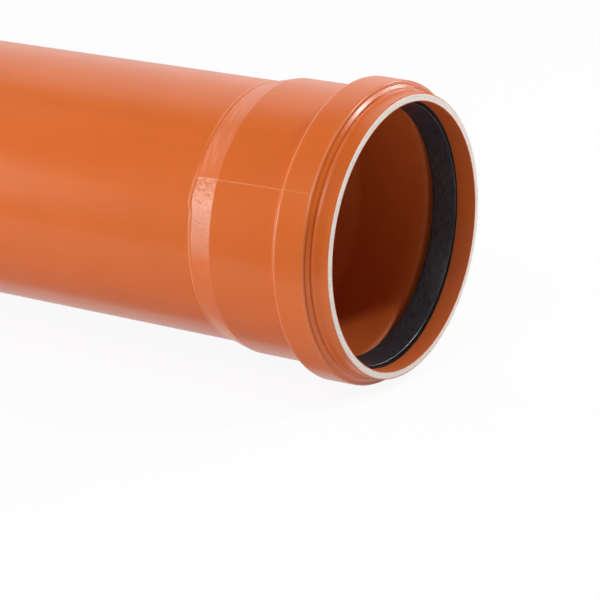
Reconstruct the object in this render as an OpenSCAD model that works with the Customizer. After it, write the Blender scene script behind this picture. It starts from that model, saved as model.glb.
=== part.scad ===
// Socketed PVC sewer pipe with a rubber lip seal.
// The axis runs along X, the spigot end is at the origin and the socket mouth faces +X, +Z is up.
// All lengths are in millimetres.

/* [Barrel] */
// Outside diameter of the barrel and of the spigot end
pipe_od = 160; // [125:1:250]
// Wall thickness of the barrel
pipe_wall = 4.7; // [3.6:0.1:7.7]
// Laying length, from the spigot end to the bottom of the socket
laying_length = 1000; // [500:50:3000]
// Axial length of the bevel that leads the spigot into a socket
bevel_length = 9; // [5:0.5:14]
// Radial depth of the bevel
bevel_depth = 2.4; // [1.2:0.1:3]

/* [Socket] */
// Radial clearance between the socket bore and a spigot
socket_clearance = 0.4; // [0.2:0.1:1]
// Depth of the socket, from its mouth to the start of the taper
socket_depth = 83; // [66:1:130]
// Wall thickness of the formed socket and bead
formed_wall = 3.7; // [3.2:0.1:6]
// Axial length of the taper between barrel and socket
taper_length = 16.8; // [12:0.2:36]
// Wall thickness of the lip at the mouth
lip_wall = 4.8; // [4.5:0.1:7]
// Width of the neck between the lip and the bead
neck_width = 1.6; // [1.2:0.1:4]
// Axial length of the bevel on the outer edge of the rim
rim_bevel_length = 0.7; // [0.2:0.1:1.2]
// Radial depth of the bevel on the outer edge of the rim
rim_bevel_depth = 1; // [0.2:0.1:1.6]

/* [Seal groove] */
// Distance from the mouth to the front edge of the groove
groove_start = 16.2; // [14:0.2:24]
// Width of the groove at the socket bore
groove_width = 20.6; // [18:0.2:28]
// Depth of the groove at its back
groove_depth = 7.5; // [6:0.1:9]
// How much shallower the groove is at its front
groove_drop = 0.3; // [0.1:0.1:1.8]
// Angle between the front flank and the axis
front_flank_angle = 87; // [60:1:89]
// Angle between the back flank and the axis
back_flank_angle = 54; // [45:1:70]

/* [Seal ring] */
// Clearance between the rubber and its seat
seal_clearance = 0.2; // [0.1:0.05:0.3]
// How far the nose reaches over the lip bore, ahead of the groove
nose_reach = 3.8; // [2:0.2:6]
// How far the nose stands inside the spigot's radius
nose_squeeze = 1.2; // [0.6:0.1:2]
// How far the sealing lip stands inside the spigot's radius
lip_squeeze = 3.8; // [2.4:0.1:4.6]
// Distance from the groove's front edge back to the sealing lip's edge
lip_reach = 11.4; // [9:0.2:14]
// Length of the parallel land at the sealing lip's edge
land_length = 1.6; // [1.2:0.1:2.4]
// Thickness of the sealing lip behind its edge
lip_thickness = 2.6; // [1.6:0.1:3.2]
// How far the notch behind the sealing lip runs forward past the lip's edge
notch_depth = 3.4; // [2:0.2:6]
// How far the heel behind the notch stands back from the spigot
heel_step = 1.4; // [0.6:0.1:2]

/* [Hidden] */

// Straight steps in each rounded corner, and facets around the axis
arc_steps = 6;
turn_facets = 180;
// Share of a side that one rounded corner may use up
corner_share = 0.6;

// Radii of the rounded corners
taper_round = 14;
bead_back_round = 2.5;
bead_front_round = 1.8;
foot_round = 1.2;
neck_round = 0.5;
groove_round = 2;
groove_edge_round = 0.8;
nose_round = 1.1;
nose_edge_round = 0.3;
lip_edge_round = 0.6;
notch_round = 1;
heel_round = 1;

// Barrel
barrel_r = pipe_od / 2;
bore_r = barrel_r - pipe_wall;
socket_bottom_z = laying_length;
taper_back_z = socket_bottom_z - taper_length;
mouth_z = socket_bottom_z + socket_depth;

// Socket and lip
socket_r = barrel_r + socket_clearance;
formed_r = socket_r + formed_wall;
lip_r = socket_r + lip_wall;

// Groove in the socket bore
groove_front_z = mouth_z - groove_start;
groove_back_z = groove_front_z - groove_width;
groove_front_r = socket_r + groove_depth - groove_drop;
groove_back_r = socket_r + groove_depth;

// Place on a flank of the groove at radius r, moved along the axis to lie the given distance from the flank
function front_flank_z(r, away) =
    groove_front_z - (r - socket_r) / tan(front_flank_angle) + away / sin(front_flank_angle);
function back_flank_z(r, away) =
    groove_back_z + (r - socket_r) / tan(back_flank_angle) - away / sin(back_flank_angle);

// Bead over the groove
bead_front_r = groove_front_r + formed_wall;
bead_back_r = groove_back_r + formed_wall;
bead_front_foot_z = front_flank_z(formed_r, formed_wall);
lip_back_z = bead_front_foot_z + neck_width;
lip_step = (lip_r - formed_r) / 2;

// Seal ring
seat_r = socket_r - seal_clearance;
nose_r = barrel_r - nose_squeeze;
land_r = barrel_r - lip_squeeze;
nose_z = groove_front_z + nose_reach;
land_front_z = groove_front_z - lip_reach + land_length / 2;
land_back_z = land_front_z - land_length;
seal_front_r = groove_front_r - seal_clearance;
seal_back_r = groove_back_r - seal_clearance;
heel_r = seat_r + heel_step;
notch_z = land_back_z + notch_depth;
heel_z = back_flank_z(heel_r, -seal_clearance);

// Outline of the pipe wall as [radius, place on the axis, corner radius], outside first
pipe_outline = [
    [bore_r, 0, 0],
    [barrel_r - bevel_depth, 0, 0],
    [barrel_r, bevel_length, 0],
    [barrel_r, taper_back_z, taper_round],
    [formed_r, socket_bottom_z, taper_round],
    [formed_r, back_flank_z(formed_r, formed_wall), bead_back_round],
    [bead_back_r, back_flank_z(bead_back_r, formed_wall), bead_back_round],
    [bead_front_r, front_flank_z(bead_front_r, formed_wall), bead_front_round],
    [formed_r, bead_front_foot_z, neck_round],
    [formed_r, lip_back_z - lip_step, neck_round],
    [lip_r, lip_back_z, neck_round],
    [lip_r, mouth_z - rim_bevel_length, 0],
    [lip_r - rim_bevel_depth, mouth_z, 0],
    [socket_r, mouth_z, 0],
    [socket_r, groove_front_z, groove_edge_round],
    [groove_front_r, front_flank_z(groove_front_r, 0), groove_round],
    [groove_back_r, back_flank_z(groove_back_r, 0), groove_round],
    [socket_r, groove_back_z, foot_round],
    [socket_r, socket_bottom_z, taper_round],
    [bore_r, taper_back_z, taper_round]
];

// Outline of the rubber ring in the same form, from the nose round the sealing lip, the heel and the seat
seal_outline = [
    [seat_r, nose_z, nose_edge_round],
    [nose_r, nose_z, nose_round],
    [land_r, land_front_z, 0],
    [land_r, land_back_z, 0],
    [land_r + lip_thickness, land_back_z, lip_edge_round],
    [heel_r, notch_z, notch_round],
    [heel_r, heel_z, heel_round],
    [seal_back_r, back_flank_z(seal_back_r, -seal_clearance), groove_round + seal_clearance],
    [seal_front_r, front_flank_z(seal_front_r, -seal_clearance), groove_round + seal_clearance],
    [seat_r, front_flank_z(seat_r, -seal_clearance), groove_edge_round]
];

function unit(v) = v / norm(v);
function flat(corner) = [corner[0], corner[1]];

// Points of the arc that rounds corner b between its neighbours a and c
function corner_points(a, b, c, radius) =
    let (to_a = unit(a - b))
    let (to_c = unit(c - b))
    let (half_angle = acos(to_a * to_c) / 2)
    let (longest = corner_share * min(norm(a - b), norm(c - b)))
    let (cut = min(radius / tan(half_angle), longest))
    let (r = cut * tan(half_angle))
    let (centre = b + unit(to_a + to_c) * r / sin(half_angle))
    let (from = b + to_a * cut - centre)
    let (to = b + to_c * cut - centre)
    let (start = atan2(from[1], from[0]))
    let (turn = atan2(from[0] * to[1] - from[1] * to[0], from * to))
    [for (i = [0 : arc_steps])
        let (angle = start + turn * i / arc_steps)
        centre + r * [cos(angle), sin(angle)]];

// Outline with every corner that has a radius rounded
function rounded(outline) =
    let (count = len(outline))
    [for (i = [0 : count - 1])
        let (before = flat(outline[(i + count - 1) % count]))
        let (here = flat(outline[i]))
        let (after = flat(outline[(i + 1) % count]))
        each outline[i][2] > 0 ? corner_points(before, here, after, outline[i][2]) : [here]];

// Solid of revolution about the X axis
module turned(outline) {
    rotate([0, 90, 0])
        rotate_extrude($fn = turn_facets)
            polygon(rounded(outline));
}

module pipe() {
    color([0.82, 0.41, 0.18])
        turned(pipe_outline);
}

module seal_ring() {
    color([0.13, 0.13, 0.13])
        turned(seal_outline);
}

pipe();
seal_ring();
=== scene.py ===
"""Looks of the socketed PVC sewer pipe: the formed pipe wall and its rubber lip seal, on a white floor.

Lengths are in millimetres unless a name or comment says otherwise, and MM turns them into metres.
Angles round the pipe are in degrees, from 0 on the camera's side (-Y) up to 90 at the top (+Z).
"""
import math

import bpy
import numpy as np
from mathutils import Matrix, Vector, noise


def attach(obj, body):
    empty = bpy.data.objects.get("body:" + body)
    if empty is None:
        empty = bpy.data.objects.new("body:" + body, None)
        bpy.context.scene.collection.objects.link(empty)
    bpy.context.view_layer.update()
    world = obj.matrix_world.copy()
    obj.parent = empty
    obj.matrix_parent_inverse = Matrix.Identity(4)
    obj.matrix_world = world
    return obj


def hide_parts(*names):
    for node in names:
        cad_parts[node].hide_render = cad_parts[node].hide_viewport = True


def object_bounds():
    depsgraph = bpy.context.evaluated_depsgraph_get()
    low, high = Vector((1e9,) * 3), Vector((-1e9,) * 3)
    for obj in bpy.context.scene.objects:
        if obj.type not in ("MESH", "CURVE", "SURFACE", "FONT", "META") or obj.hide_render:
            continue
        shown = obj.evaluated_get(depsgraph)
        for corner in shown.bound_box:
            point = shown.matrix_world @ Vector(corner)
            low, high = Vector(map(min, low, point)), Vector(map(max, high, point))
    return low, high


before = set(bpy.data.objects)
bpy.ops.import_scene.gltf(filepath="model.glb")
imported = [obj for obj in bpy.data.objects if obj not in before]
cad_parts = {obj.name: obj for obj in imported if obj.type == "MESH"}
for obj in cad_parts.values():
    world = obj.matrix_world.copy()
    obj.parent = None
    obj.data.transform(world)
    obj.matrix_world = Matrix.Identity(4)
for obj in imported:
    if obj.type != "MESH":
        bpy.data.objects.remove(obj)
cad_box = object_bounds()

MM = 0.001

# Barrel, as in the part's source
BARREL_R = 80.0
PIPE_WALL = 4.7
LAYING_LENGTH = 1000.0
BEVEL_LENGTH = 9.0
BEVEL_DEPTH = 2.4
BORE_R = BARREL_R - PIPE_WALL

# Socket
SOCKET_CLEARANCE = 0.4
SOCKET_DEPTH = 83.0
SOCKET_R = BARREL_R + SOCKET_CLEARANCE
FORMED_WALL = 3.7
FORMED_R = SOCKET_R + FORMED_WALL
LIP_WALL = 4.8
LIP_R = SOCKET_R + LIP_WALL
MOUTH = LAYING_LENGTH + SOCKET_DEPTH
TAPER_LENGTH = 16.8
TAPER_BACK = LAYING_LENGTH - TAPER_LENGTH
TAPER_ROUND = 4.0
TAPER_INNER_ROUND = 14.0
BEAD_FOOT_ROUND = 0.8
BEAD_BACK_ROUND = 2.5
BEAD_FRONT_ROUND = 1.8
NECK_WIDTH = 1.6
LIP_BACK_ROUND = 0.6
RIM_BEVEL_LENGTH = 0.7
RIM_BEVEL_DEPTH = 1.0
RIM_OUTER_ROUND = 0.3
RIM_INNER_ROUND = 0.15

# Seal groove
GROOVE_START = 16.2
GROOVE_WIDTH = 20.6
FOOT_SHIFT = 2.6
GROOVE_FRONT = MOUTH - GROOVE_START
GROOVE_BACK = GROOVE_FRONT - GROOVE_WIDTH
GROOVE_FOOT = GROOVE_BACK + FOOT_SHIFT
GROOVE_DEPTH = 7.5
GROOVE_DROP = 0.3
FRONT_FLANK = math.radians(87.0)
BACK_FLANK = math.radians(54.0)
GROOVE_EDGE_ROUND = 0.8
GROOVE_ROUND = 2.0
GROOVE_FOOT_ROUND = 3.5

# Seal ring
SEAL_CLEARANCE = 0.2
NOSE_REACH = 3.8
NOSE_SQUEEZE = 1.2
LIP_SQUEEZE = 3.8
LIP_REACH = 10.6
LAND_LENGTH = 1.6
LIP_THICKNESS = 2.6
NOTCH_DEPTH = 3.4
HEEL_STEP = 4.0
NOSE_R = BARREL_R - NOSE_SQUEEZE
LAND_R = BARREL_R - LIP_SQUEEZE
NOSE = GROOVE_FRONT + NOSE_REACH
LAND_FRONT = GROOVE_FRONT - LIP_REACH + LAND_LENGTH / 2
LAND_BACK = LAND_FRONT - LAND_LENGTH
NOTCH = LAND_BACK + NOTCH_DEPTH
SEAT_R = SOCKET_R - SEAL_CLEARANCE
HEEL_R = SEAT_R + HEEL_STEP
NOSE_FOOT_ROUND = 0.2
NOSE_ROUND = 1.1
LAND_FRONT_ROUND = 0.4
LAND_BACK_ROUND = 0.25
LIP_EDGE_ROUND = 0.6
NOTCH_ROUND = 1.0
HEEL_ROUND = 1.0
SEAL_SEAT_ROUND = 2.2

# How far the nose's foot is pressed forward at the top and bottom, and where the nose's front starts
FOOT_REACH = 2.2
FRONT_START = 0.3

# Coloured skin on both faces of the wall, over the pale core that saw cuts lay bare
SKIN = 0.55

# How far the faces stay inside the solids, so that the relief on them doesn't make the part larger
OUTER_SINK = 0.09
INNER_SINK = 0.02
SAWN_SINK = 0.1
SEAL_SINK = 0.01

# Stretches with close rings behind the taper and on the back of the lip
RING_ZONE = 8
LIP_ZONE = 4

# Smoothness of the turned meshes
ARC_STEPS = 7
CORNER_SHARE = 0.6
TURN_STEP = 1.8
SEAM_STEP = 0.09
CREASE_STEP = 0.42
SHARP_ANGLE = math.radians(35)

# Parting lines of the socket mould
SEAM_ANGLES = (28.0, -152.0)
SEAM_WIDTH = 0.42
SEAM_SPAN = 0.9
SEAM_ON_TAPER = 0.30
SEAM_ON_SOCKET = 0.20
SEAM_ON_BEAD = 0.10

# Sloping ledge round the front face of the bead, by radius, and the ridge along the back edge of the lip
LEDGE_TOP_R = 88.8
LEDGE_EDGE_R = 87.1
LEDGE_REACH = 1.5
LEDGE_TOP_ROUND = 0.4
LEDGE_EDGE_ROUND = 0.5
LIP_RIDGE = 0.14
LIP_DIP = 0.06

# Fine ring that the mould's end leaves behind the taper, with a groove in front of it
RING_HEIGHT = 0.16
RING_WIDTH = 0.55
RING_GROOVE_DEPTH = 0.14
RING_GROOVE_WIDTH = 0.5
RING_GROOVE_GAP = 1.5

# Creased arc of the taper, below the parting line
CREASE_TOP = SEAM_ANGLES[0]
CREASE_MIDDLE = 13.0
CREASE_END = -8.0
CREASE_DEPTH = 0.16
CREASE_GRAIN = 0.075

# Streaked arc of the taper, above the parting line
STREAK_END = 80.0
STREAK_DEPTH = 0.035

# How pale the marks show for each millimetre of relief
RING_TONE = 4
CREASE_TONE = 1.5
STREAK_TONE = 18


def front_flank(radius, away):
    """Place on the front flank of the groove, moved to lie the given distance from it."""
    return GROOVE_FRONT - (radius - SOCKET_R) / math.tan(FRONT_FLANK) + away / math.sin(FRONT_FLANK)


def back_flank(radius, away):
    """Place on the back flank of the groove, moved to lie the given distance from it."""
    return GROOVE_BACK + (radius - SOCKET_R) / math.tan(BACK_FLANK) - away / math.sin(BACK_FLANK)


def inner_flank(radius, away):
    """Place on the inner face of the groove's back, which is steeper than the outer face."""
    slope = (back_flank(SOCKET_R + GROOVE_DEPTH, 0) - GROOVE_FOOT) / GROOVE_DEPTH
    return GROOVE_FOOT + slope * (radius - SOCKET_R) + away


def pipe_outline():
    """Corners of the pipe wall as (radius, place, corner radius, stretch that follows), outside first."""
    groove_back_r = SOCKET_R + GROOVE_DEPTH
    groove_front_r = groove_back_r - GROOVE_DROP
    bead_back_r = groove_back_r + FORMED_WALL
    bead_front_r = groove_front_r + FORMED_WALL
    bead_foot = front_flank(FORMED_R, FORMED_WALL)
    lip_back = bead_foot + NECK_WIDTH
    ledge_top = front_flank(LEDGE_TOP_R, FORMED_WALL)
    ledge_edge = front_flank(LEDGE_EDGE_R, FORMED_WALL) + LEDGE_REACH
    bevel_skin = BEVEL_LENGTH * (1 - SKIN / BEVEL_DEPTH)
    rim_skin = RIM_BEVEL_LENGTH * (1 - SKIN / RIM_BEVEL_DEPTH)
    return [
        (BORE_R, 0, 0, "skin"),
        (BORE_R + SKIN, 0, 0, "cut"),
        (BARREL_R - BEVEL_DEPTH, 0, 0, "cut"),
        (BARREL_R - SKIN, bevel_skin, 0, "skin"),
        (BARREL_R, BEVEL_LENGTH, 0, "barrel"),
        (BARREL_R, TAPER_BACK - RING_ZONE, 0, "ring"),
        (BARREL_R, TAPER_BACK, TAPER_ROUND, "taper"),
        (FORMED_R, LAYING_LENGTH, TAPER_ROUND, "socket"),
        (FORMED_R, back_flank(FORMED_R, FORMED_WALL), BEAD_FOOT_ROUND, "bead"),
        (bead_back_r, back_flank(bead_back_r, FORMED_WALL), BEAD_BACK_ROUND, "bead"),
        (bead_front_r, front_flank(bead_front_r, FORMED_WALL), BEAD_FRONT_ROUND, "neck"),
        (LEDGE_TOP_R, ledge_top, LEDGE_TOP_ROUND, "neck"),
        (LEDGE_EDGE_R, ledge_edge, LEDGE_EDGE_ROUND, "neck"),
        (LIP_R, lip_back, LIP_BACK_ROUND, "lip back"),
        (LIP_R, lip_back + LIP_ZONE, 0, "lip"),
        (LIP_R, MOUTH - RIM_BEVEL_LENGTH, 0, "skin"),
        (LIP_R - SKIN, MOUTH - rim_skin, 0, "rim"),
        (LIP_R - RIM_BEVEL_DEPTH, MOUTH, RIM_OUTER_ROUND, "rim"),
        (SOCKET_R + SKIN, MOUTH, 0, "skin"),
        (SOCKET_R, MOUTH, RIM_INNER_ROUND, "inside"),
        (SOCKET_R, GROOVE_FRONT, GROOVE_EDGE_ROUND, "inside"),
        (groove_front_r, front_flank(groove_front_r, 0), GROOVE_ROUND, "inside"),
        (groove_back_r, back_flank(groove_back_r, 0), GROOVE_ROUND, "inside"),
        (SOCKET_R, GROOVE_FOOT, GROOVE_FOOT_ROUND, "inside"),
        (SOCKET_R, LAYING_LENGTH, TAPER_INNER_ROUND, "inside"),
        (BORE_R, TAPER_BACK, TAPER_INNER_ROUND, "bore"),
    ]


def seal_outline():
    """Corners of the rubber ring in the same form, from the nose round the sealing lip and the heel."""
    front_r = SOCKET_R + GROOVE_DEPTH - GROOVE_DROP - SEAL_CLEARANCE
    back_r = SOCKET_R + GROOVE_DEPTH - SEAL_CLEARANCE
    return [
        (SEAT_R, NOSE, NOSE_FOOT_ROUND, "nose"),
        (NOSE_R, NOSE, NOSE_ROUND, "band"),
        (LAND_R, LAND_FRONT, LAND_FRONT_ROUND, "band"),
        (LAND_R, LAND_BACK, LAND_BACK_ROUND, "nose"),
        (LAND_R + LIP_THICKNESS, LAND_BACK, LIP_EDGE_ROUND, "nose"),
        (HEEL_R, NOTCH, NOTCH_ROUND, "hidden"),
        (HEEL_R, inner_flank(HEEL_R, SEAL_CLEARANCE), HEEL_ROUND, "hidden"),
        (back_r, inner_flank(back_r, SEAL_CLEARANCE), SEAL_SEAT_ROUND, "hidden"),
        (front_r, front_flank(front_r, -SEAL_CLEARANCE), SEAL_SEAT_ROUND, "hidden"),
        (SEAT_R, front_flank(SEAT_R, -SEAL_CLEARANCE), GROOVE_EDGE_ROUND, "nose"),
    ]


# Longest step between two rings of a mesh, by stretch of the outline
RING_STEPS = {
    "skin": 0.4, "cut": 0.6, "barrel": 45.0, "ring": 0.5, "taper": 0.55, "socket": 4.0, "bead": 1.8,
    "neck": 0.25, "lip back": 0.35, "lip": 1.6, "rim": 0.45, "inside": 6.0, "bore": 60.0,
    "nose": 0.5, "band": 0.8, "hidden": 3.0,
}


def corner_arc(before, here, after, radius):
    """Points of the arc that rounds a corner between its neighbours."""
    to_before = (before - here) / np.linalg.norm(before - here)
    to_after = (after - here) / np.linalg.norm(after - here)
    half = math.acos(np.clip(to_before @ to_after, -1, 1)) / 2
    longest = CORNER_SHARE * min(np.linalg.norm(before - here), np.linalg.norm(after - here))
    cut = min(radius / math.tan(half), longest)
    arc_r = cut * math.tan(half)
    inward = (to_before + to_after) / np.linalg.norm(to_before + to_after)
    centre = here + inward * arc_r / math.sin(half)
    start = here + to_before * cut - centre
    end = here + to_after * cut - centre
    turn = math.atan2(start[0] * end[1] - start[1] * end[0], start @ end)
    angles = math.atan2(start[1], start[0]) + turn * np.linspace(0, 1, ARC_STEPS + 1)
    return centre + arc_r * np.column_stack([np.cos(angles), np.sin(angles)])


def outline_rings(outline):
    """Closed row of (radius, place) points with round corners, and the stretch that follows each point."""
    corners = np.array([corner[:2] for corner in outline], float)
    count = len(outline)
    points, stretches = [], []
    for i, (_, _, radius, stretch) in enumerate(outline):
        arc = corners[i:i + 1]
        if radius > 0:
            arc = corner_arc(corners[i - 1], corners[i], corners[(i + 1) % count], radius)
        points.extend(arc)
        stretches.extend([stretch] * len(arc))
    rings, tags = [], []
    for i, stretch in enumerate(stretches):
        here, after = points[i], points[(i + 1) % len(points)]
        pieces = max(1, math.ceil(np.linalg.norm(after - here) / RING_STEPS[stretch]))
        for k in range(pieces):
            rings.append(here + (after - here) * k / pieces)
            tags.append(stretch)
    return np.array(rings), np.array(tags)


def ring_normals(rings):
    """Outward direction of a closed outline at each of its points."""
    along = np.roll(rings, -1, axis=0) - np.roll(rings, 1, axis=0)
    along /= np.linalg.norm(along, axis=1)[:, None]
    return np.column_stack([along[:, 1], -along[:, 0]])


def turn_angles(fine_windows=()):
    """Angles of the mesh round the axis, with closer ones in each (low, high, step) window."""
    angles = np.arange(-180.0, 180.0, TURN_STEP)
    for low, high, step in fine_windows:
        angles = angles[(angles < low - step / 2) | (angles > high + step / 2)]
        angles = np.sort(np.append(angles, np.arange(low, high + step / 2, step)))
    return angles


def turned_piece(name, rings, tags, angles, offsets, materials, stretch_material):
    """Closed mesh of a turned outline, moved along its own outward direction by offsets[ring, angle]."""
    out = ring_normals(rings)
    radius = rings[:, :1] + out[:, :1] * offsets
    place = rings[:, 1:] + out[:, 1:] * offsets
    turn = np.radians(angles)
    points = np.stack([place, -radius * np.cos(turn), radius * np.sin(turn)], axis=-1).reshape(-1, 3)
    ring_count, angle_count = len(rings), len(angles)
    ring, step = np.meshgrid(np.arange(ring_count), np.arange(angle_count), indexing="ij")
    next_ring, next_step = (ring + 1) % ring_count, (step + 1) % angle_count
    faces = np.stack([
        ring * angle_count + step,
        ring * angle_count + next_step,
        next_ring * angle_count + next_step,
        next_ring * angle_count + step,
    ], axis=-1).reshape(-1, 4)
    mesh = bpy.data.meshes.new(name)
    mesh.from_pydata((points * MM).tolist(), [], faces.tolist())
    for material in materials:
        mesh.materials.append(material)
    picks = np.array([stretch_material.get(tag, 0) for tag in tags])
    mesh.polygons.foreach_set("material_index", np.repeat(picks, angle_count))
    mesh.polygons.foreach_set("use_smooth", np.ones(len(faces), bool))
    mesh.update()
    mesh.set_sharp_from_angle(angle=SHARP_ANGLE)
    piece = bpy.data.objects.new(name, mesh)
    bpy.context.scene.collection.objects.link(piece)
    return piece


def add_values(piece, name, values):
    """Stores one number for each point of a piece, for its material to read."""
    attribute = piece.data.attributes.new(name, "FLOAT", "POINT")
    attribute.data.foreach_set("value", values.astype(np.float32).ravel())


def smooth_step(low, high, value):
    """Rises from 0 at low to 1 at high, or falls where high is the lower one."""
    share = np.clip((value - low) / (high - low), 0, 1)
    return share * share * (3 - 2 * share)


def bump(distance, width):
    """Height 1 at no distance, fading to nothing at about twice the width."""
    return np.exp(-(distance / width) ** 2)


def noise_over(place, arc, scale, seed):
    """Smooth noise from -1 to 1 over places and arc lengths, at a scale in bumps for each millimetre."""
    flat = [noise.noise(Vector((x * scale, a * scale, seed))) for x, a in zip(place.ravel(), arc.ravel())]
    return np.array(flat).reshape(place.shape)


def seam_relief(place, angle):
    """Raised parting lines: thick on the taper, thin on the socket and faint over the bead."""
    height = SEAM_ON_TAPER * smooth_step(TAPER_BACK - 1, TAPER_BACK + 1, place)
    height += (SEAM_ON_SOCKET - SEAM_ON_TAPER) * smooth_step(LAYING_LENGTH - 1, LAYING_LENGTH + 2, place)
    height += (SEAM_ON_BEAD - SEAM_ON_SOCKET) * smooth_step(GROOVE_BACK - 2, GROOVE_BACK + 2, place)
    height *= smooth_step(GROOVE_FRONT + 3, GROOVE_FRONT + 1, place)
    drift = 0.25 * np.sin(place / 9.0) - 0.5 * smooth_step(GROOVE_BACK - 1, GROOVE_BACK + 3, place)
    ridge = np.zeros_like(place)
    for seam in SEAM_ANGLES:
        ridge += bump(np.radians(angle - seam) * FORMED_R - drift, SEAM_WIDTH)
    return height * ridge


def ring_place(angle):
    """Distance of the fine ring from the taper's back edge: it jogs back below the parting line."""
    jog = smooth_step(CREASE_MIDDLE, CREASE_MIDDLE + 3.5, angle) * (angle < CREASE_TOP)
    return np.where(angle >= CREASE_TOP, -1.5, -0.2 - 1.9 * jog)


def ring_relief(place, angle):
    """Fine raised ring and groove that the mould's end leaves behind the taper."""
    at = TAPER_BACK + ring_place(angle)
    fade = 1 - 0.75 * bump(angle - CREASE_TOP - 12, 10.0) * (angle > CREASE_TOP)
    ring = RING_HEIGHT * bump(place - at, RING_WIDTH)
    groove = RING_GROOVE_DEPTH * bump(place - at - RING_GROOVE_GAP, RING_GROOVE_WIDTH)
    return fade * (ring - groove)


def crease_share(angle):
    """How strongly the taper is creased: in the arc below the parting line, with a frayed lower end."""
    upper = smooth_step(CREASE_TOP + 0.2, CREASE_TOP - 0.6, angle)
    return upper * smooth_step(CREASE_END, CREASE_END + 7, angle)


def on_taper(place):
    """1 on the taper and 0 off it, with soft edges."""
    back = smooth_step(TAPER_BACK, TAPER_BACK + 2, place)
    return back * smooth_step(LAYING_LENGTH + 0.5, LAYING_LENGTH - 0.5, place)


def crease_area(place, angle):
    """Share of creasing at each point, from 0 to 1."""
    return on_taper(place) * crease_share(angle)


def crease_relief(place, angle):
    """Creases and pits of the arc where the hot wall crumpled against the mould."""
    share = crease_area(place, angle)
    relief = np.zeros_like(place)
    live = share > 0.001
    arc = np.radians(angle) * FORMED_R
    wide = 1 - np.abs(noise_over(place[live] + arc[live] * 0.5, arc[live], 0.36, 3.7)) * 2
    fine = noise_over(place[live], arc[live], 0.75, 9.1)
    upper = smooth_step(CREASE_MIDDLE - 4, CREASE_MIDDLE + 4, angle[live])
    relief[live] = share[live] * (CREASE_DEPTH * upper * wide + CREASE_GRAIN * fine)
    return relief


def streak_relief(place, angle):
    """Fine streaks that run round the taper above the parting line."""
    share = on_taper(place) * smooth_step(CREASE_TOP, CREASE_TOP + 3, angle)
    share *= smooth_step(STREAK_END, CREASE_TOP + 15, angle)
    relief = np.zeros_like(place)
    live = share > 0.001
    arc = np.radians(angle) * FORMED_R
    streaks = noise_over(place[live] + 0.12 * arc[live], 0.1 * arc[live], 0.55, 6.3)
    relief[live] = STREAK_DEPTH * share[live] * streaks
    return relief


def nick_relief(place, angle):
    """Small dent just above the parting line on the socket."""
    arc = np.radians(angle - SEAM_ANGLES[0]) * FORMED_R
    return -0.25 * bump(place - (LAYING_LENGTH + 24), 0.9) * bump(arc - 1.2, 0.7)


def form_relief(place, angle):
    """Slow waviness of the formed socket and of the extruded barrel."""
    turn = np.radians(angle)
    formed = smooth_step(TAPER_BACK - 4, TAPER_BACK + 6, place)
    wave = 0.05 * np.sin(3 * turn + 0.8) + 0.035 * np.sin(7 * turn + place / 21.0)
    along = 0.04 * np.sin(place / 60.0 + 2 * turn)
    return formed * wave + (1 - formed) * along - OUTER_SINK


def lip_relief(place):
    """Low ridge along the back edge of the lip, and a dip in front of it."""
    lip_back = front_flank(FORMED_R, FORMED_WALL) + NECK_WIDTH
    ridge = LIP_RIDGE * bump(place - lip_back - 0.9, 0.5) - LIP_DIP * bump(place - lip_back - 2.8, 1.3)
    return np.where(place > lip_back + 0.1, ridge, 0)


def edge_whitening_and_highlight(place):
    """Paler skin on the edges of the bead and on the back edge of the lip: partly whitening where the wall
    was stretched, partly a painted highlight along these edges.
    """
    bead_back = back_flank(SOCKET_R + GROOVE_DEPTH + FORMED_WALL, FORMED_WALL)
    bead_front = front_flank(FORMED_R, FORMED_WALL)
    wear = 0.45 * bump(place - bead_back + 0.6, 1.3) + 0.35 * bump(place - bead_front + 1.1, 0.6)
    return wear + 0.4 * bump(place - bead_front - NECK_WIDTH - 0.8, 0.4)


def rim_relief(angle, radius):
    """Uneven face that the saw leaves on the rim and on the spigot end."""
    arc = np.radians(angle) * radius
    coarse = 0.05 * noise_over(arc, radius, 0.55, 5.3)
    fine = 0.04 * noise_over(arc, radius, 1.6, 2.9)
    return coarse + fine - SAWN_SINK


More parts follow.
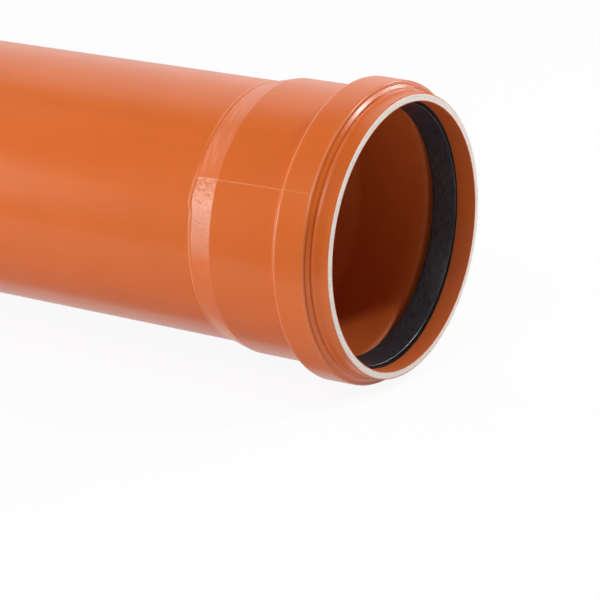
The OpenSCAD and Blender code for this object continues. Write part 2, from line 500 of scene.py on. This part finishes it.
def pipe_piece(skin_material, core_material):
    """The pipe wall, with the mould's marks on the outside and saw cuts at both ends."""
    rings, tags = outline_rings(pipe_outline())
    windows = [(seam - SEAM_SPAN, seam + SEAM_SPAN, SEAM_STEP) for seam in SEAM_ANGLES]
    windows.insert(0, (CREASE_END - 2, CREASE_TOP + 1, CREASE_STEP))
    angles = turn_angles(windows)
    place = np.repeat(rings[:, 1:], len(angles), axis=1)
    radius = np.repeat(rings[:, :1], len(angles), axis=1)
    angle = np.repeat(angles[None], len(rings), axis=0)
    outer = np.isin(tags, ["barrel", "ring", "taper", "socket", "bead", "neck", "lip back", "lip"])
    sawn = np.isin(tags, ["rim", "cut"])
    seams = seam_relief(place[outer], angle[outer])
    creases = crease_relief(place[outer], angle[outer])
    streaks = streak_relief(place[outer], angle[outer])
    ring = ring_relief(place[outer], angle[outer])
    offsets = np.zeros_like(place)
    offsets[outer] = seams + creases + ring + nick_relief(place[outer], angle[outer])
    offsets[outer] += streaks
    offsets[outer] += form_relief(place[outer], angle[outer]) + lip_relief(place[outer])
    offsets[sawn] = rim_relief(angle[sawn], radius[sawn])
    offsets[np.isin(tags, ["skin", "inside", "bore"])] = -INNER_SINK
    materials = [skin_material, core_material]
    piece = turned_piece("pipe_wall", rings, tags, angles, offsets, materials, {"rim": 1, "cut": 1})
    pale = np.zeros_like(place)
    marks = seams / SEAM_ON_TAPER + ring * RING_TONE + creases * CREASE_TONE + streaks * STREAK_TONE
    # Marks and edges are made paler; on the edges of the bead and lip this is partly a painted highlight
    pale[outer] = np.clip(marks + edge_whitening_and_highlight(place[outer]), 0, 1)
    add_values(piece, "pale", pale)
    inner = np.isin(tags, ["inside", "bore"]).astype(float)
    add_values(piece, "inner", np.repeat(inner[:, None], len(angles), axis=1))
    creased = np.zeros_like(place)
    creased[outer] = crease_area(place[outer], angle[outer])
    add_values(piece, "creased", creased)
    return piece


def seal_piece(material, matt_material):
    """The rubber lip seal, matt in front and darker there, partly as painted shade. The foot of its nose is
    pressed forward at the top and bottom.
    """
    rings, tags = outline_rings(seal_outline())
    angles = turn_angles()
    forward = np.clip(ring_normals(rings)[:, 1], 0, 1) ** 2
    rise = smooth_step(NOSE_R + FRONT_START, SEAT_R - 0.2, rings[:, 0])
    foot = forward * rise * (rings[:, 1] > NOSE - 0.5)
    offsets = FOOT_REACH * foot[:, None] * np.sin(np.radians(angles)) ** 2 - SEAL_SINK
    tags[(forward > 0.5) & (rings[:, 0] > NOSE_R + FRONT_START)] = "front"
    return turned_piece("lip_seal", rings, tags, angles, offsets, [material, matt_material], {"front": 1})


# Node helpers
def add_node(tree, kind, values=None, **settings):
    """New shader node with its settings, and values for its input sockets by name or number."""
    made = tree.nodes.new(kind)
    for name, value in settings.items():
        setattr(made, name, value)
    for socket, value in (values or {}).items():
        made.inputs[socket].default_value = value
    return made


def join(tree, source, target):
    """Links an output socket to an input socket."""
    tree.links.new(source, target)


def new_material(name):
    """Material with an empty tree but for its Principled shader and output."""
    material = bpy.data.materials.new(name)
    material.use_nodes = True
    tree = material.node_tree
    return material, tree, tree.nodes["Principled BSDF"]


def noise_node(tree, vector, scale, detail=2.0, roughness=0.5):
    """Noise texture over the given coordinates."""
    made = add_node(tree, "ShaderNodeTexNoise", {"Scale": scale, "Detail": detail, "Roughness": roughness})
    join(tree, vector, made.inputs["Vector"])
    return made.outputs["Fac"]


def mapped(tree, vector, scale):
    """Coordinates stretched by a scale for each axis."""
    made = add_node(tree, "ShaderNodeMapping", {"Scale": scale})
    join(tree, vector, made.inputs["Vector"])
    return made.outputs["Vector"]


def math_node(tree, operation, first, second):
    """Sum, product or other operation on a socket and a socket or number."""
    made = add_node(tree, "ShaderNodeMath", operation=operation)
    join(tree, first, made.inputs[0])
    if isinstance(second, (int, float)):
        made.inputs[1].default_value = second
    else:
        join(tree, second, made.inputs[1])
    return made.outputs[0]


def ranged(tree, value, low, high, new_low, new_high):
    """Value taken from one range to another, held at its ends."""
    made = add_node(tree, "ShaderNodeMapRange", {1: low, 2: high, 3: new_low, 4: new_high}, clamp=True)
    join(tree, value, made.inputs[0])
    return made.outputs[0]


def mixed_colour(tree, share, first, second):
    """Colour between two colours, each a socket or a fixed colour."""
    made = add_node(tree, "ShaderNodeMix", data_type="RGBA")
    join(tree, share, made.inputs[0])
    for socket, colour in ((made.inputs[6], first), (made.inputs[7], second)):
        if isinstance(colour, tuple):
            socket.default_value = (*colour, 1)
        else:
            join(tree, colour, socket)
    return made.outputs[2]


def bumped(tree, height, distance, normal=None):
    """Normal of a surface with the given height texture, whose depth is in metres."""
    made = add_node(tree, "ShaderNodeBump", {"Strength": 1.0, "Distance": distance})
    join(tree, height, made.inputs["Height"])
    if normal is not None:
        join(tree, normal, made.inputs["Normal"])
    return made.outputs["Normal"]


# Colours and finish of the materials, with depths in metres
PVC_TONES = ((0.590, 0.116, 0.012), (0.620, 0.126, 0.015))
PVC_STREAK = (0.560, 0.104, 0.010)
# The next colour pales the marks and edges; on the edges of the bead and lip it is partly a painted
# highlight
PVC_PALE_AND_HIGHLIGHT = (0.86, 0.36, 0.18)
PVC_CREASED = (0.70, 0.44, 0.33)
# The next colour is painted shade, laid over the bore of the lip in front of the seal
PVC_LIP_BORE_SHADE = (0.36, 0.066, 0.006)
STREAK_SHARE = 0.22
PALE_AND_HIGHLIGHT_SHARE = 0.55
CREASED_SHARE = 0.16
LIP_BORE_SHADE_SHARE = 0.45
PVC_ROUGHNESS = (0.285, 0.33)
PVC_INNER_ROUGHNESS = 0.30
PVC_IOR = 1.53
DIE_LINE_DEPTH = 0.00001
PIT_DEPTH = 0.00025
CORE_TONES = ((0.66, 0.585, 0.53), (0.88, 0.82, 0.76))
CORE_PATCH = (0.80, 0.68, 0.59)
CORE_ROUGHNESS = 0.75
GRAIN_DEPTH = 0.00008
# The satin band's paler tones are partly painted light, and the matt front's darker tones partly painted
# shade
SATIN_LIT_TONES = ((0.008, 0.0105, 0.0145), (0.046, 0.055, 0.066))
MATT_SHADED_TONES = ((0.006, 0.006, 0.006), (0.020, 0.020, 0.020))
RUBBER_ROUGHNESS = (0.29, 0.38)
RUBBER_MARK_DEPTH = 0.00004
SATIN_SPECULAR = 0.45
MATT_SPECULAR = 0.06


def pvc_material():
    """Orange PVC: satin gloss with die lines along it, paler where it was stretched or creased, partly as a
    painted highlight on the edges of the bead and lip, and darker over the bore of the lip as painted
    shade.
    """
    material, tree, shader = new_material("orange_pvc")
    where = add_node(tree, "ShaderNodeTexCoord").outputs["Object"]
    along = add_node(tree, "ShaderNodeSeparateXYZ")
    join(tree, where, along.inputs[0])

    clouds = noise_node(tree, where, 14.0, 3.0)
    colour = mixed_colour(tree, ranged(tree, clouds, 0.35, 0.65, 0, 1), *PVC_TONES)
    streaks = noise_node(tree, mapped(tree, where, (3.0, 190.0, 190.0)), 1.0, 3.0)
    colour = mixed_colour(tree, ranged(tree, streaks, 0.45, 0.75, 0, STREAK_SHARE), colour, PVC_STREAK)
    pale = add_node(tree, "ShaderNodeAttribute", attribute_name="pale").outputs["Fac"]
    creased = add_node(tree, "ShaderNodeAttribute", attribute_name="creased").outputs["Fac"]
    # Paler marks and edges, partly a painted highlight on the edges of the bead and lip
    colour = mixed_colour(tree, math_node(tree, "MULTIPLY", pale, PALE_AND_HIGHLIGHT_SHARE), colour, PVC_PALE_AND_HIGHLIGHT)
    colour = mixed_colour(tree, math_node(tree, "MULTIPLY", creased, CREASED_SHARE), colour, PVC_CREASED)
    inner = add_node(tree, "ShaderNodeAttribute", attribute_name="inner").outputs["Fac"]
    # Painted shade: the bore of the lip, in front of the seal, is mixed towards a darker orange
    lip_start = GROOVE_FRONT * MM
    lip = ranged(tree, along.outputs["X"], lip_start - MM, lip_start, 0, LIP_BORE_SHADE_SHARE)
    colour = mixed_colour(tree, math_node(tree, "MULTIPLY", inner, lip), colour, PVC_LIP_BORE_SHADE)
    join(tree, colour, shader.inputs["Base Color"])

    smudges = noise_node(tree, where, 38.0, 4.0, 0.6)
    rough = ranged(tree, smudges, 0.2, 0.8, *PVC_ROUGHNESS)
    rough = math_node(tree, "ADD", rough, math_node(tree, "MULTIPLY", inner, PVC_INNER_ROUGHNESS))
    join(tree, rough, shader.inputs["Roughness"])
    shader.inputs["IOR"].default_value = PVC_IOR

    die_marks = noise_node(tree, mapped(tree, where, (6.0, 420.0, 420.0)), 1.0, 2.0)
    lines = bumped(tree, die_marks, DIE_LINE_DEPTH)
    pits = math_node(tree, "MULTIPLY", noise_node(tree, where, 800.0, 2.0), creased)
    join(tree, bumped(tree, pits, PIT_DEPTH, lines), shader.inputs["Normal"])
    return material


def core_material():
    """Pale core of the wall on the saw cuts, grainy and dull."""
    material, tree, shader = new_material("sawn_core")
    where = add_node(tree, "ShaderNodeTexCoord").outputs["Object"]
    grain = noise_node(tree, where, 900.0, 3.0, 0.7)
    patches = noise_node(tree, where, 150.0, 2.0)
    colour = mixed_colour(tree, ranged(tree, grain, 0.3, 0.7, 0, 1), *CORE_TONES)
    colour = mixed_colour(tree, ranged(tree, patches, 0.4, 0.7, 0, 0.3), colour, CORE_PATCH)
    join(tree, colour, shader.inputs["Base Color"])
    shader.inputs["Roughness"].default_value = CORE_ROUGHNESS
    join(tree, bumped(tree, grain, GRAIN_DEPTH), shader.inputs["Normal"])
    return material


def rubber_material(name, tones, specular):
    """Black rubber with fine marks that run round the ring."""
    material, tree, shader = new_material(name)
    where = add_node(tree, "ShaderNodeTexCoord").outputs["Object"]
    parts = add_node(tree, "ShaderNodeSeparateXYZ")
    join(tree, where, parts.inputs[0])
    across = math_node(tree, "ARCTAN2", parts.outputs["Y"], parts.outputs["Z"])
    turned = add_node(tree, "ShaderNodeCombineXYZ")
    join(tree, math_node(tree, "MULTIPLY", parts.outputs["X"], 1500.0), turned.inputs["X"])
    join(tree, math_node(tree, "MULTIPLY", across, 14.0), turned.inputs["Y"])
    marks = noise_node(tree, turned.outputs[0], 1.0, 3.0, 0.6)
    colour = mixed_colour(tree, ranged(tree, marks, 0.35, 0.7, 0, 1), *tones)
    join(tree, colour, shader.inputs["Base Color"])
    join(tree, ranged(tree, marks, 0.3, 0.7, *RUBBER_ROUGHNESS), shader.inputs["Roughness"])
    join(tree, bumped(tree, marks, RUBBER_MARK_DEPTH), shader.inputs["Normal"])
    shader.inputs["Specular IOR Level"].default_value = specular
    return material


# Stage, in metres
FLOOR_RADIUS = 12.0
FLOOR_SIDES = 96
FLOOR_GREY = 0.80
FLOOR_WHITE = 0.92
STAGE_ROUGHNESS = 0.9
WORLD_LEVEL = 0.15

# Cards along the pipe, and how far across it the ones on the floor reach
CARD_LEFT = -0.8
CARD_RIGHT = 2.2
CARD_FRONT = -0.25
CARD_TOP = 0.06
CARD_LIFT = 0.0005
PALE_CARD_END = -0.045
# The dark card under the pipe is a painted contact shadow, seen only in the gloss
CONTACT_SHADOW_CARD = (0.005, 0.06)
PALE_GREY = 0.80
DARK_GREY = 0.05

# Lamps by name: where each aims, its direction from there, distance, width and height, and its radiance
SOCKET_BOTTOM = (LAYING_LENGTH * MM, 0, 0)
BARREL_POINT = (0.9, 0, 0)
LAMPS = {
    "key": (SOCKET_BOTTOM, (0.57, 0.42, 0.69), 1.4, 0.15, 0.15, 115.0),
    "top": (SOCKET_BOTTOM, (0.10, -0.30, 0.95), 1.4, 0.22, 0.22, 22.0),
    "behind": (SOCKET_BOTTOM, (0.25, 0.83, 0.49), 1.5, 0.5, 0.3, 12.0),
    "right": (SOCKET_BOTTOM, (0.48, 0.87, 0.06), 1.5, 0.45, 0.18, 10.0),
    "front": (SOCKET_BOTTOM, (0.05, -0.79, 0.61), 1.8, 1.0, 0.8, 6.3),
    "left": (SOCKET_BOTTOM, (-0.86, -0.51, 0.05), 1.4, 0.32, 0.36, 25.0),
    "left_fill": (SOCKET_BOTTOM, (-0.88, -0.12, 0.46), 1.4, 0.6, 0.8, 1.1),
    "back": (BARREL_POINT, (-0.56, 0.64, 0.53), 1.7, 1.6, 1.8, 1.0),
}

# Camera, placed from the middle of the socket mouth, with its lens and sensor in millimetres
CAMERA_OFFSET = (0.81937, -1.35637, 0.44902)
CAMERA_YAW = math.radians(123.399)
CAMERA_PITCH = math.radians(-17.116)
CAMERA_LENS = 168.0
CAMERA_SENSOR = 36.0


def floor_piece(height):
    """Round white floor with a faint shadow, which lights the object as a plain pale board would."""
    middle = (LAYING_LENGTH * MM, 0, height)
    shape = {"vertices": FLOOR_SIDES, "radius": FLOOR_RADIUS, "fill_type": "NGON"}
    bpy.ops.mesh.primitive_circle_add(location=middle, **shape)
    floor = bpy.context.object
    floor.name = "floor"
    material, tree, shader = new_material("white_floor")
    shader.inputs["Base Color"].default_value = (FLOOR_GREY, FLOOR_GREY, FLOOR_GREY, 1)
    shader.inputs["Roughness"].default_value = STAGE_ROUGHNESS
    glow = add_node(tree, "ShaderNodeEmission", {"Color": (1, 1, 1, 1), "Strength": 1.0})
    path = add_node(tree, "ShaderNodeLightPath")
    seen = math_node(tree, "MAXIMUM", path.outputs["Is Camera Ray"], path.outputs["Is Glossy Ray"])
    seen = math_node(tree, "MAXIMUM", seen, path.outputs["Is Transmission Ray"])
    blend = add_node(tree, "ShaderNodeMixShader")
    join(tree, math_node(tree, "MULTIPLY", seen, FLOOR_WHITE), blend.inputs[0])
    join(tree, shader.outputs[0], blend.inputs[1])
    join(tree, glow.outputs[0], blend.inputs[2])
    join(tree, blend.outputs[0], tree.nodes["Material Output"].inputs["Surface"])
    floor.data.materials.append(material)
    return floor


def softbox(name, aim, toward, distance, width, height, radiance):
    """Rectangular lamp that stands off from a point in a direction and faces it."""
    lamp = bpy.data.lights.new(name, "AREA")
    lamp.shape = "RECTANGLE"
    lamp.size, lamp.size_y = width, height
    lamp.energy = radiance * math.pi * width * height
    holder = bpy.data.objects.new(name, lamp)
    direction = Vector(toward).normalized()
    holder.location = Vector(aim) + direction * distance
    holder.rotation_mode = "QUATERNION"
    holder.rotation_quaternion = direction.to_track_quat("Z", "Y")
    holder.visible_camera = False
    bpy.context.scene.collection.objects.link(holder)
    return holder


def card(name, corners, grey):
    """Flat card out of the picture, which only the gloss of the object shows."""
    mesh = bpy.data.meshes.new(name)
    mesh.from_pydata(corners, [], [(0, 1, 2, 3)])
    board = bpy.data.objects.new(name, mesh)
    bpy.context.scene.collection.objects.link(board)
    material, _, shader = new_material(name)
    shader.inputs["Base Color"].default_value = (grey, grey, grey, 1)
    shader.inputs["Roughness"].default_value = STAGE_ROUGHNESS
    mesh.materials.append(material)
    board.visible_camera = False
    board.visible_diffuse = False
    board.visible_shadow = False
    return board


def strip(first, second):
    """Corners of a strip along the pipe, between two edges given as (place across the pipe, height)."""
    return [(CARD_LEFT, *first), (CARD_RIGHT, *first), (CARD_RIGHT, *second), (CARD_LEFT, *second)]


def cards(floor_height):
    """Cards in front of the pipe and under it, so that the gloss doesn't wash out the colour; the dark card
    under the pipe is a painted contact shadow that only the gloss shows.
    """
    low = floor_height + CARD_LIFT
    near, far = CONTACT_SHADOW_CARD
    card("pale_card", strip((CARD_FRONT, low), (PALE_CARD_END, low)), PALE_GREY)
    # Painted contact shadow under the pipe, seen only in the gloss
    card("contact_shadow_card", strip((near, low), (far, low)), DARK_GREY)
    card("front_card", strip((CARD_FRONT, low), (CARD_FRONT, CARD_TOP)), DARK_GREY)


def world_light(level):
    """Dim even light from all round."""
    world = bpy.data.worlds.new("studio")
    world.use_nodes = True
    world.node_tree.nodes["Background"].inputs["Color"].default_value = (1, 1, 1, 1)
    world.node_tree.nodes["Background"].inputs["Strength"].default_value = level
    bpy.context.scene.world = world


def photo_camera():
    """Camera at the photograph's viewing angle."""
    level = math.cos(CAMERA_PITCH)
    look = Vector((level * math.cos(CAMERA_YAW), level * math.sin(CAMERA_YAW), math.sin(CAMERA_PITCH)))
    camera = bpy.data.objects.new("camera", bpy.data.cameras.new("camera"))
    camera.data.sensor_width = CAMERA_SENSOR
    camera.data.lens = CAMERA_LENS
    camera.data.clip_end = 100.0
    camera.location = Vector((MOUTH * MM, 0, 0)) + Vector(CAMERA_OFFSET)
    camera.rotation_mode = "QUATERNION"
    camera.rotation_quaternion = look.to_track_quat("-Z", "Y")
    bpy.context.scene.collection.objects.link(camera)
    bpy.context.scene.camera = camera


def studio(floor_height):
    """Floor, lamps, world and camera."""
    floor_piece(floor_height)
    cards(floor_height)
    for name, values in LAMPS.items():
        softbox(name, *values)
    world_light(WORLD_LEVEL)
    bpy.context.scene.view_settings.view_transform = "Standard"
    photo_camera()


pipe = pipe_piece(pvc_material(), core_material())
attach(pipe, "root")
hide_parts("pipe")

# One rubber in two tones: the satin band paler as partly painted light, the matt front darker as partly
# painted shade
satin_rubber = rubber_material("seal_rubber", SATIN_LIT_TONES, SATIN_SPECULAR)
matt_rubber = rubber_material("seal_rubber_matt", MATT_SHADED_TONES, MATT_SPECULAR)
seal = seal_piece(satin_rubber, matt_rubber)
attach(seal, "root")
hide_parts("seal_ring")

studio(cad_box[0].z)
